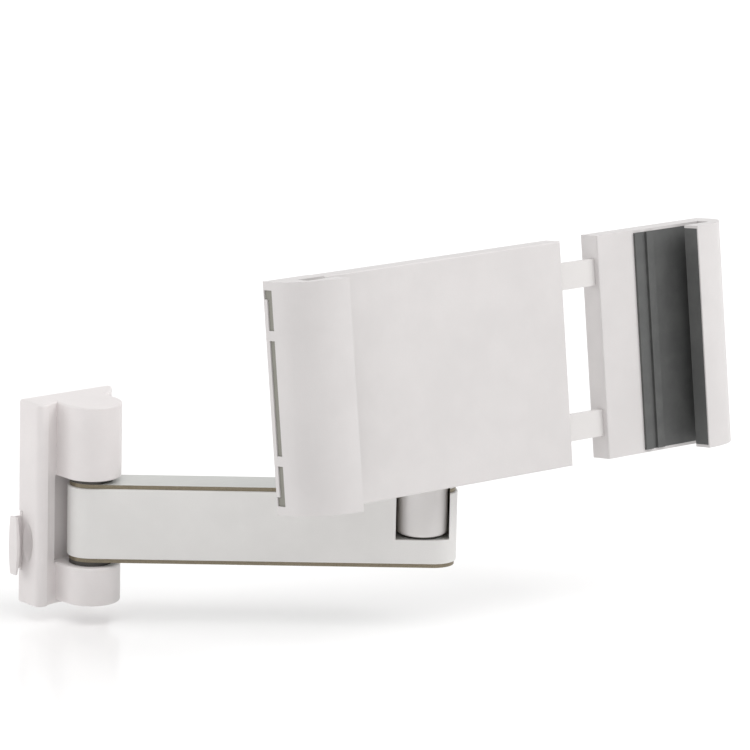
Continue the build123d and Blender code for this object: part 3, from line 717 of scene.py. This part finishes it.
class MeshTree(Net):
    """A Geometry Nodes tree that turns points and named inputs into one mesh."""

    def __init__(self, name: str, numbers: Sequence[str], others: dict[str, str]) -> None:
        """Make a tree with its inputs and its output, and no nodes between them.

        Args:
            name: The tree's name.
            numbers: The names of its numbers.
            others: The kinds of its other inputs by name, besides its points and finish.
        """
        super().__init__(bpy.data.node_groups.new(name, "GeometryNodeTree"))
        kinds = {"Points": "Geometry", **dict.fromkeys(numbers, "Float"), **others}
        face = self.tree.interface
        for label, kind in {**kinds, "Finish": "Material"}.items():
            face.new_socket(name=label, in_out="INPUT", socket_type=f"NodeSocket{kind}")
        face.new_socket(name="Mesh", in_out="OUTPUT", socket_type="NodeSocketGeometry")
        source = self.tree.nodes.new("NodeGroupInput")
        self.given = {socket.name: Wire(self, socket) for socket in source.outputs if socket.name}

    def vector(self, x: Source, y: Source, z: Source) -> Wire:
        """Join three numbers into a vector."""
        return self.node("ShaderNodeCombineXYZ", {}, {0: x, 1: y, 2: z})

    def boolean(self, operation: str, meshes: dict[int, Source]) -> Wire:
        """Join or cut meshes, given by the socket that they go to."""
        settings = {"operation": operation, "solver": "EXACT"}
        return self.node("GeometryNodeMeshBoolean", settings, meshes)

    def close(self, mesh: Wire) -> None:
        """Send a mesh out, plain and in the tree's finish.

        Args:
            mesh: The mesh or its instances.
        """
        plain = self.node("GeometryNodeRealizeInstances", {}, {0: mesh})
        finished = self.node(
            "GeometryNodeSetMaterial", {}, {"Geometry": plain, "Material": self.given["Finish"]}
        )
        self.node("NodeGroupOutput", {}, {0: finished})

    def run(self, points: Sequence[Vector], values: dict[str, object]) -> bpy.types.Mesh:
        """Run the tree on a few points.

        Args:
            points: The points that its carrier holds.
            values: The tree's inputs by name.

        Returns:
            The plain mesh that it makes.
        """
        mesh = bpy.data.meshes.new("points")
        mesh.from_pydata([tuple(point) for point in points], [], [])
        carrier = linked("points", mesh)
        modifier = carrier.modifiers.new("nodes", "NODES")
        modifier.node_group = self.tree
        for socket in self.tree.interface.items_tree:
            if socket.in_out == "INPUT" and socket.name in values:
                modifier[socket.identifier] = values[socket.name]
        result = settled(carrier)
        bpy.data.objects.remove(carrier)
        return result


@dataclass(frozen=True)
class ScrewSize:
    """Sizes of one countersunk screw, in metres.

    Attributes:
        head_radius: The head's radius at its face.
        head_height: The head's height down to the shank.
        shank_radius: The shank's radius.
        length: The whole length.
    """

    head_radius: float
    head_height: float
    shank_radius: float
    length: float


@dataclass(frozen=True)
class ScrewReader:
    """Reads the places and sizes of a node's screws from its solids.

    Attributes:
        inward: The direction from their heads to their tips.
        ring_gap: The least depth between two rings of corners, in metres.
    """

    inward: Vector
    ring_gap: float = 2e-5

    def read(self, node: str) -> tuple[list[Vector], ScrewSize]:
        """Read one node, whose screws are all alike.

        Args:
            node: The CAD node that holds the screws.

        Returns:
            The middle of each head's face, and the screws' sizes.
        """
        solid = welded(node)
        found = [self._measured(shell) for shell in self._shells(solid)]
        solid.free()
        seats = sorted((seat for seat, _ in found), key=tuple)
        return seats, found[-1][1]

    @staticmethod
    def _shells(solid: bmesh.types.BMesh) -> list[list[Vector]]:
        """Split a mesh into its separate shells.

        Args:
            solid: The mesh.

        Returns:
            The corners of each shell.
        """
        seen: set[bmesh.types.BMVert] = set()
        shells = []
        for first in solid.verts:
            if first in seen:
                continue
            seen.add(first)
            reached = [first]
            # The list grows while it is walked.
            for vert in reached:
                for edge in vert.link_edges:
                    other = edge.other_vert(vert)
                    if other not in seen:
                        seen.add(other)
                        reached.append(other)
            shells.append([vert.co.copy() for vert in reached])
        return shells

    def _measured(self, corners: list[Vector]) -> tuple[Vector, ScrewSize]:
        """Measure one screw by its rings of corners, from the head's face to the tip.

        Args:
            corners: The screw's corners.

        Returns:
            The middle of its head's face, and its sizes.
        """
        rings: list[list[Vector]] = []
        last = -math.inf
        for depth, place in sorted((spot.dot(self.inward), tuple(spot)) for spot in corners):
            if depth > last + self.ring_gap:
                rings.append([])
                last = depth
            rings[-1].append(Vector(place))
        middles = [sum(ring, Vector()) / len(ring) for ring in rings]
        head, neck, tip = middles[0], middles[1], middles[-1]
        return head, ScrewSize(
            max((place - head).length for place in rings[0]),
            (neck - head).dot(self.inward),
            max((place - tip).length for place in rings[-1]),
            (tip - head).dot(self.inward),
        )


class ScrewTree(MeshTree):
    """Geometry Nodes that set a screw with a cross recess on every point of a mesh."""

    NUMBERS = (
        "Head Radius",
        "Head Height",
        "Shank Radius",
        "Length",
        "Recess Length",
        "Recess Width",
        "Recess Depth",
    )
    HEAD_SIDES, SHANK_SIDES, WELL_SIDES = 48, 32, 16
    # The shank starts inside the head and is a little thinner than the head's small end.
    SHANK_START, SHANK_FIT = 0.6, 0.99
    # Sizes of the recess's cutters, as shares of its width or depth.
    SLOT_HEIGHT = 2.0
    WELL_TIP, WELL_MOUTH, WELL_HEIGHT, WELL_SHIFT = 0.2, 1.05, 1.5, -0.1

    def __init__(self) -> None:
        """Build the tree."""
        others = {"Inward": "Vector", "Seed": "Int"}
        super().__init__("cross_recess_screws", self.NUMBERS, others)
        cut = self.boolean("DIFFERENCE", {0: self._body(), 1: self._recess()})
        placed = {"Points": self.given["Points"], "Instance": cut, "Rotation": self._turn()}
        self.close(self.node("GeometryNodeInstanceOnPoints", {}, placed))

    def _shifted(self, mesh: Wire, height: Source) -> Wire:
        """Move a mesh inward along the screw."""
        move = {"Geometry": mesh, "Translation": self.vector(0.0, 0.0, height)}
        return self.node("GeometryNodeTransform", {}, move)

    def _cone(self, sides: int, top: Source, bottom: Source, depth: Source) -> Wire:
        """Make a truncated cone along +Z, with its bottom at the origin."""
        sizes = {"Vertices": sides, "Radius Top": top, "Radius Bottom": bottom, "Depth": depth}
        return self.node("GeometryNodeMeshCone", {}, sizes)

    def _body(self) -> Wire:
        """Make the head and the shank along +Z.

        Returns:
            The screw before its recess is cut.
        """
        given = self.given
        radius, height = given["Shank Radius"], given["Head Height"]
        head = self._cone(self.HEAD_SIDES, radius, given["Head Radius"], height)
        start = height * self.SHANK_START
        depth = given["Length"] - start
        sizes = {"Vertices": self.SHANK_SIDES, "Radius": radius * self.SHANK_FIT, "Depth": depth}
        shank = self.node("GeometryNodeMeshCylinder", {}, sizes)
        return self.boolean("UNION", {1: [head, self._shifted(shank, start + depth * 0.5)]})

    def _recess(self) -> list[Wire]:
        """Make the cutters of the cross recess.

        Returns:
            Two crossed slots and a tapered well.
        """
        long, wide, deep = (self.given[f"Recess {side}"] for side in ("Length", "Width", "Depth"))
        tall = deep * self.SLOT_HEIGHT
        sizes = (self.vector(long, wide, tall), self.vector(wide, long, tall))
        slots = [self.node("GeometryNodeMeshCube", {}, {"Size": size}) for size in sizes]
        tip, mouth = wide * self.WELL_TIP, wide * self.WELL_MOUTH
        well = self._cone(self.WELL_SIDES, tip, mouth, deep * self.WELL_HEIGHT)
        return [*slots, self._shifted(well, deep * self.WELL_SHIFT)]

    def _turn(self) -> Wire:
        """Point the screws inward, each with its recess at its own angle.

        Returns:
            The rotation of each screw.
        """
        aim = {"Vector": self.given["Inward"]}
        aimed = self.node("FunctionNodeAlignRotationToVector", {"axis": "Z"}, aim)
        limits = {2: 0.0, 3: math.tau, "Seed": self.given["Seed"]}
        chance = self.node("FunctionNodeRandomValue", {"data_type": "FLOAT"}, limits, out=1)
        spin = self.node("FunctionNodeEulerToRotation", {}, {0: self.vector(0.0, 0.0, chance)})
        return self.node(
            "FunctionNodeRotateRotation",
            {"rotation_space": "LOCAL"},
            {"Rotation": aimed, "Rotate By": spin},
        )


@dataclass(frozen=True)
class ScrewSet:
    """All the visible screws of one body, driven in one direction.

    Attributes:
        name: The piece's name.
        body: The CAD body that it rides on.
        nodes: The CAD nodes that it stands for.
        inward: The direction from the heads to the tips.
        seed: The seed of the recesses' angles.
        recess_length: The recess's length, as a share of the head's radius.
        recess_width: Its slots' width, as a share of the head's radius.
        recess_depth: Its depth, as a share of the head's height.
    """

    name: str
    body: str
    nodes: tuple[str, ...]
    inward: Vector
    seed: int
    recess_length: float = 1.1
    recess_width: float = 0.27
    recess_depth: float = 0.75

    def build(self, tree: ScrewTree, finish: bpy.types.Material) -> None:
        """Make the screws, one mesh for the body.

        Args:
            tree: The Geometry Nodes that make them.
            finish: Their material.
        """
        joined = bmesh.new()
        for node in self.nodes:
            mesh = self._made(tree, finish, node)
            joined.from_mesh(mesh)
            bpy.data.meshes.remove(mesh)
        result = bpy.data.meshes.new(self.name)
        joined.to_mesh(result)
        joined.free()
        result.materials.append(finish)
        claim(linked(self.name, result), self.body, self.nodes)

    def _made(self, tree: ScrewTree, finish: bpy.types.Material, node: str) -> bpy.types.Mesh:
        """Run the tree on one node's screws.

        Args:
            tree: The Geometry Nodes.
            finish: The screws' material.
            node: The CAD node whose places and sizes they take.

        Returns:
            The plain mesh.
        """
        seats, size = ScrewReader(self.inward).read(node)
        values = {
            "Head Radius": size.head_radius,
            "Head Height": size.head_height,
            "Shank Radius": size.shank_radius,
            "Length": size.length,
            "Recess Length": size.head_radius * self.recess_length,
            "Recess Width": size.head_radius * self.recess_width,
            "Recess Depth": size.head_height * self.recess_depth,
            "Inward": tuple(self.inward),
            "Seed": self.seed,
            "Finish": finish,
        }
        return tree.run(seats, values)


class CoilTree(MeshTree):
    """Geometry Nodes that wind a compression spring along X from the origin."""

    NUMBERS = ("Turns", "Radius", "Length", "Wire Radius")
    TURN_STEPS = 28
    WIRE_SIDES = 12

    def __init__(self) -> None:
        """Build the tree."""
        super().__init__("latch_coil", self.NUMBERS, {})
        given = self.given
        winding = {
            "Resolution": self.TURN_STEPS,
            "Rotations": given["Turns"],
            "Start Radius": given["Radius"],
            "End Radius": given["Radius"],
            "Height": given["Length"],
        }
        helix = self.node("GeometryNodeCurveSpiral", {}, winding)
        section = {"Resolution": self.WIRE_SIDES, "Radius": given["Wire Radius"]}
        wire = self.node("GeometryNodeCurvePrimitiveCircle", {}, section)
        swept = {"Curve": helix, "Profile Curve": wire, "Fill Caps": True}
        tube = self.node("GeometryNodeCurveToMesh", {}, swept)
        lie = {"Geometry": tube, "Rotation": (0.0, math.pi / 2.0, 0.0)}
        self.close(self.node("GeometryNodeTransform", {}, lie))


@dataclass(frozen=True)
class LatchCoil:
    """Latch spring of round wire.

    Attributes:
        turns: Its turns.
        wire_radius: Its wire's radius, in metres.
    """

    turns: float = 5.0
    wire_radius: float = 0.0002

    def build(self, finish: bpy.types.Material) -> None:
        """Make the spring in the place of its solid.

        Args:
            finish: Its material.
        """
        low, high = (Vector(corner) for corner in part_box("latch_spring"))
        size = high - low
        values = {
            "Turns": self.turns,
            "Radius": size.z / 2.0 - self.wire_radius,
            "Length": size.x - 2.0 * self.wire_radius,
            "Wire Radius": self.wire_radius,
            "Finish": finish,
        }
        mesh = CoilTree().run([Vector()], values)
        middle = (low + high) / 2.0
        mesh.transform(Matrix.Translation((low.x + self.wire_radius, middle.y, middle.z)))
        piece = linked("latch_coil", mesh)
        claim(piece, "wall_side", ("latch_spring",))
        stroke = max(abs(limit) for limit in joint("latch_press")["range_m"])
        (size.x - stroke) / size.x
        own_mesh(piece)


@dataclass(frozen=True)
class ThumbTab:
    """Release tab: a crowned thumb head on a thin neck, over the solid tab's inner body.

    Attributes:
        head: The head's thickness, in metres.
        head_out: How far the head stands out from the wall, in metres.
        head_drop: How far the head sits below the tab's middle, in metres.
        crown: How much farther the head's edge stands out in its middle, in metres.
        dome: How much farther the head's face stands out there, in metres.
        neck: The neck's thickness, in metres.
        shoulder: How much shorter the neck is than the head at each end, in metres.
        root: How deep the neck goes into the head and the body, in metres.
        rounding: The rounding of the head's edges, in metres.
        steps: The head's rings, less one.
    """

    head: float = 0.0015
    head_out: float = 0.0053
    head_drop: float = 0.0012
    crown: float = 0.0015
    dome: float = 0.0006
    neck: float = 0.0009
    shoulder: float = 0.0004
    root: float = 0.00045
    rounding: float = 0.00025
    steps: int = 24

    def build(self, finish: bpy.types.Material) -> None:
        """Make the tab.

        Args:
            finish: Its material.
        """
        face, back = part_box("release_tab")[0][0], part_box("release_tab")[1][1]
        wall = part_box("bracket_housing")[0][0]
        body, bottom, top = self._body(wall)
        inner = face + self.head

        def head_ring(share: float) -> list[Span]:
            """Return the head's section at a height from -1 to 1."""
            bow = share * share
            return rectangle(face + self.dome * bow, inner, self.crown * bow - self.head_out, back)

        def neck_ring(_: float) -> list[Span]:
            """Return the neck's section, the same at every height."""
            return rectangle(inner - self.root, wall + self.root, back - self.neck, back)

        top -= self.head_drop
        head = lofted("thumb_head", head_ring, bottom - self.head_drop, top, self.steps)
        bevel(head, self.rounding)
        neck = lofted("thumb_neck", neck_ring, bottom + self.shoulder, top - self.shoulder, 1)
        unite(body, head)
        unite(body, neck)
        coat(body, finish)
        claim(body, "release_latch", ("release_tab",))

    @staticmethod
    def _body(wall: float) -> tuple[bpy.types.Object, float, float]:
        """Copy the solid tab without what stands out of the housing's side.

        Args:
            wall: The X of the housing's side.

        Returns:
            The body, and the lowest and highest point of what was cut off.
        """
        solid = welded("release_tab")
        heights = [vert.co.z for vert in solid.verts if vert.co.x < wall]
        bmesh.ops.bisect_plane(
            solid,
            geom=[*solid.verts, *solid.edges, *solid.faces],
            plane_co=(wall, 0.0, 0.0),
            plane_no=(1.0, 0.0, 0.0),
            clear_inner=True,
        )
        bmesh.ops.holes_fill(solid, edges=[edge for edge in solid.edges if edge.is_boundary])
        return closed_object("thumb_tab", solid), min(heights), max(heights)


class Assembly:
    """One sub-assembly of the mount.

    Attributes:
        NODES: The names of its CAD nodes by finish.
    """

    NODES: ClassVar[dict[Finish, tuple[str, ...]]] = {}

    def dress(self, paints: Paintbox) -> None:
        """Paint the nodes.

        Args:
            paints: The finishes.
        """
        for finish, names in self.NODES.items():
            paints.paint(finish, names)
        log.info("%s dressed", type(self).__name__)


@dataclass(frozen=True)
class WallBracket(Assembly):
    """Wall plate, hollow housing with two knuckles, release tab, spring and pin.

    Attributes:
        tab: The release tab.
        spring: The spring behind it.
    """

    tab: ThumbTab = ThumbTab()
    spring: LatchCoil = LatchCoil()

    NODES = {
        Finish.SHELL: ("bracket_housing",),
        Finish.ZINC: ("wall_plate", "pivot_pin"),
    }

    def dress(self, paints: Paintbox) -> None:
        """Paint the nodes, and make the tab and the spring.

        Args:
            paints: The finishes.
        """
        super().dress(paints)
        self.tab.build(paints.made[Finish.SHELL])
        self.spring.build(paints.made[Finish.ZINC])


@dataclass(frozen=True)
class SwingArm(Assembly):
    """Metal core between two side covers, with a collared bush at each end of its bore.

    Attributes:
        seed: The seed of its screws' angles.
    """

    seed: int = 3

    NODES = {
        Finish.ARM: ("arm_core",),
        Finish.COVER: ("arm_front_cover", "arm_rear_cover"),
        Finish.BUSH: ("upper_bush", "lower_bush", "post_washer"),
    }

    def screws(self) -> list[ScrewSet]:
        """Place the screws of the rear cover.

        Returns:
            The arm's screws, one set.
        """
        pivot, post = (Vector(joint(name)["pos_m"]) for name in ("arm_swing", "post_swivel"))
        inward = (post - pivot).normalized().cross(Vector((0.0, 0.0, 1.0)))
        return [ScrewSet("arm_cover_screws", "arm", ("cover_screws",), inward, self.seed)]


class SwivelHead(Assembly):
    """Post, tilting fork and the bolts, nut and washers that hold them."""

    NODES = {
        Finish.COAT: ("swivel_post", "tilt_fork"),
        Finish.ZINC: ("post_screw", "tilt_bolt", "tilt_nut", "rotor_bolt", "rotor_washer"),
        Finish.BUSH: ("tilt_washers", "friction_ring"),
    }


@dataclass(frozen=True)
class Holder(Assembly):
    """Housing with its fixed jaw, and the sliding clamp on its two bars.

    Attributes:
        housing_seed: The seed of the angles of the housing's screws.
        clamp_seed: The seed of the angles of the clamp's screws.
    """

    housing_seed: int = 5
    clamp_seed: int = 8

    NODES = {
        Finish.HOLDER: (
            "rear_housing",
            "front_plate",
            "left_clamp",
            "right_clamp",
            "clamp_back_cover",
        ),
        # The left pad takes the lighter copy of the grip rubber, as painted light.
        Finish.LIT_GRIP: ("left_pad",),
        Finish.GRIP: ("right_pad",),
        Finish.COAT: ("slide_bar_upper", "slide_bar_lower"),
        Finish.ZINC: ("bar_screws",),
    }

    def screws(self) -> list[ScrewSet]:
        """Place the screws in the backs of the housing and of the sliding clamp.

        Returns:
            One set of screws for each of the two bodies.
        """
        inward = Vector(joint("holder_rotate")["axis"])
        housing = ("housing_screws", "jaw_screws")
        clamp = ("back_cover_screws",)
        return [
            ScrewSet("housing_back_screws", "holder", housing, inward, self.housing_seed),
            ScrewSet("clamp_back_screws", "sliding_clamp", clamp, inward, self.clamp_seed),
        ]


def heading(bearing: float, rise: float) -> Vector:
    """Return the direction to a bearing, clockwise from the room side, and a height.

    Args:
        bearing: The bearing, in degrees.
        rise: The height above the horizon, in degrees.

    Returns:
        The direction, of length 1.
    """
    turn, lift = math.radians(bearing), math.radians(rise)
    level = math.cos(lift)
    return Vector((math.sin(turn) * level, -math.cos(turn) * level, math.sin(lift)))


@dataclass(frozen=True)
class Lamp:
    """One soft square lamp, aimed at the mount.

    Attributes:
        name: Its name.
        bearing: Its bearing to the right of the camera's, in degrees.
        rise: Its height above the horizon, in degrees.
        power: Its power, in watts.
    """

    name: str
    bearing: float
    rise: float
    power: float


@dataclass(frozen=True)
class Floor:
    """Pale floor that looks white far from the mount and keeps its shadow.

    Attributes:
        height: Its height, in metres.
        half: Half its side, in metres.
        color: Its colour.
        roughness: Its roughness.
        gloss: Its specular level.
        glow: The strength of its own light.
        near: The tone of that light under the mount.
        fade: The distances from the origin between which the tone goes to white, in metres.
    """

    height: float = -0.044
    half: float = 6.0
    color: Rgb = (0.93, 0.93, 0.93)
    roughness: float = 0.18
    gloss: float = 0.35
    glow: float = 0.4
    near: Rgb = (0.4, 0.4, 0.4)
    fade: Span = (0.15, 1.2)

    def build(self) -> None:
        """Make the floor."""
        low, high = -self.half, self.half
        corners = [(low, low), (high, low), (high, high), (low, high)]
        mesh = bpy.data.meshes.new("floor")
        mesh.from_pydata([(x, y, self.height) for x, y in corners], [], [(0, 1, 2, 3)])
        graph = Graph("floor_white")
        origin = {0: graph.place()}
        away = graph.node("ShaderNodeVectorMath", {"operation": "LENGTH"}, origin, out="Value")
        sockets = {
            "Base Color": self.color,
            "Roughness": self.roughness,
            "Specular IOR Level": self.gloss,
            "Emission Color": graph.blend(away.smooth(*self.fade), self.near, WHITE),
            "Emission Strength": self.glow,
        }
        mesh.materials.append(graph.surface(sockets))
        linked("floor", mesh)


@dataclass(frozen=True)
class Studio:
    """Floor, backdrop, lamps and camera.

    Attributes:
        azimuth: The camera's bearing, in degrees.
        elevation: Its height above the horizon, in degrees.
        roll: Its clockwise roll, in degrees.
        focal: Its focal length, in pixels of the picture.
        offset: Where the origin lies in the camera's own axes, in millimetres.
        pixels: The picture's side, in pixels.
        sensor: The sensor's side, in millimetres.
        clip: The nearest and farthest distance that is seen, in metres.
        lamps: The lamps.
        middle: What the lamps point at, in metres.
        lamp_size: The lamps' side, in metres.
        lamp_distance: How far off the lamps are, in metres.
        fill: The strength of the even light.
        fill_color: Its colour.
    """

    azimuth: float = -39.75
    elevation: float = 13.0
    roll: float = 1.31
    focal: float = 5267.0
    offset: tuple[float, float, float] = (-111.68, -41.69, 1892.5)
    pixels: int = 750
    sensor: float = 36.0
    clip: Span = (0.05, 50.0)
    lamps: tuple[Lamp, ...] = (
        Lamp("left", -85.0, 20.0, 10.0),
        Lamp("right", 80.0, 45.0, 20.0),
        Lamp("top", -10.0, 65.0, 9.0),
    )
    middle: tuple[float, float, float] = (0.08, -0.08, 0.02)
    lamp_size: float = 1.3
    lamp_distance: float = 2.0
    fill: float = 0.48
    fill_color: Rgb = (1.0, 0.99, 0.985)

    def build(self) -> None:
        """Set the view, the light, the floor and the camera."""
        bpy.context.scene.view_settings.view_transform = "Standard"
        self._world()
        for lamp in self.lamps:
            self._light(lamp)
        Floor().build()
        self._camera()

    def _camera(self) -> None:
        """Place the camera as the photograph has it."""
        back = heading(self.azimuth, self.elevation)
        right = Vector((0.0, 0.0, 1.0)).cross(back).normalized()
        up = back.cross(right)
        roll = math.radians(self.roll)
        level_right = right * math.cos(roll) + up * math.sin(roll)
        level_up = up * math.cos(roll) - right * math.sin(roll)
        data = bpy.data.cameras.new("camera")
        data.sensor_width = self.sensor
        data.lens = self.focal / self.pixels * self.sensor
        data.clip_start, data.clip_end = self.clip
        camera = linked("camera", data)
        across, above, away = self.offset
        place = (level_right * -across + level_up * -above + back * away) * MM
        turned = Matrix((level_right, level_up, back)).transposed().to_4x4()
        camera.matrix_world = Matrix.Translation(place) @ turned
        bpy.context.scene.camera = camera

    def _light(self, lamp: Lamp) -> None:
        """Add one lamp.

        Args:
            lamp: The lamp.
        """
        away = heading(self.azimuth + lamp.bearing, lamp.rise)
        data = bpy.data.lights.new(lamp.name, "AREA")
        data.shape = "SQUARE"
        data.size = self.lamp_size
        data.energy = lamp.power
        light = linked(lamp.name, data)
        light.location = Vector(self.middle) + away * self.lamp_distance
        light.rotation_mode = "QUATERNION"
        light.rotation_quaternion = away.to_track_quat("Z", "Y")

    def _world(self) -> None:
        """Light the scene evenly, with a white backdrop for camera, gloss and glass."""
        world = bpy.data.worlds.new("studio")
        world.use_nodes = True
        net = Net(world.node_tree)
        kinds = ("Camera", "Glossy", "Transmission")
        seen, gloss, glass = (
            net.node("ShaderNodeLightPath", out=f"Is {kind} Ray") for kind in kinds
        )
        even = {"Color": self.fill_color, "Strength": self.fill}
        light = net.node("ShaderNodeBackground", {}, even)
        white = net.node("ShaderNodeBackground", {}, {"Color": WHITE})
        shown = {0: seen.larger(gloss).larger(glass), 1: light, 2: white}
        mixed = net.node("ShaderNodeMixShader", {}, shown)
        net.node("ShaderNodeOutputWorld", {}, {"Surface": mixed})
        bpy.context.scene.world = world


def main() -> None:
    logging.basicConfig(level=logging.INFO, format="%(message)s")
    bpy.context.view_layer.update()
    paints = Paintbox()
    arm, holder = SwingArm(), Holder()
    for part in (WallBracket(), arm, SwivelHead(), holder):
        part.dress(paints)
    tree = ScrewTree()
    for screws in (*arm.screws(), *holder.screws()):
        screws.build(tree, paints.made[Finish.ZINC])
    Studio().build()


if __name__ == "__main__":
    main()
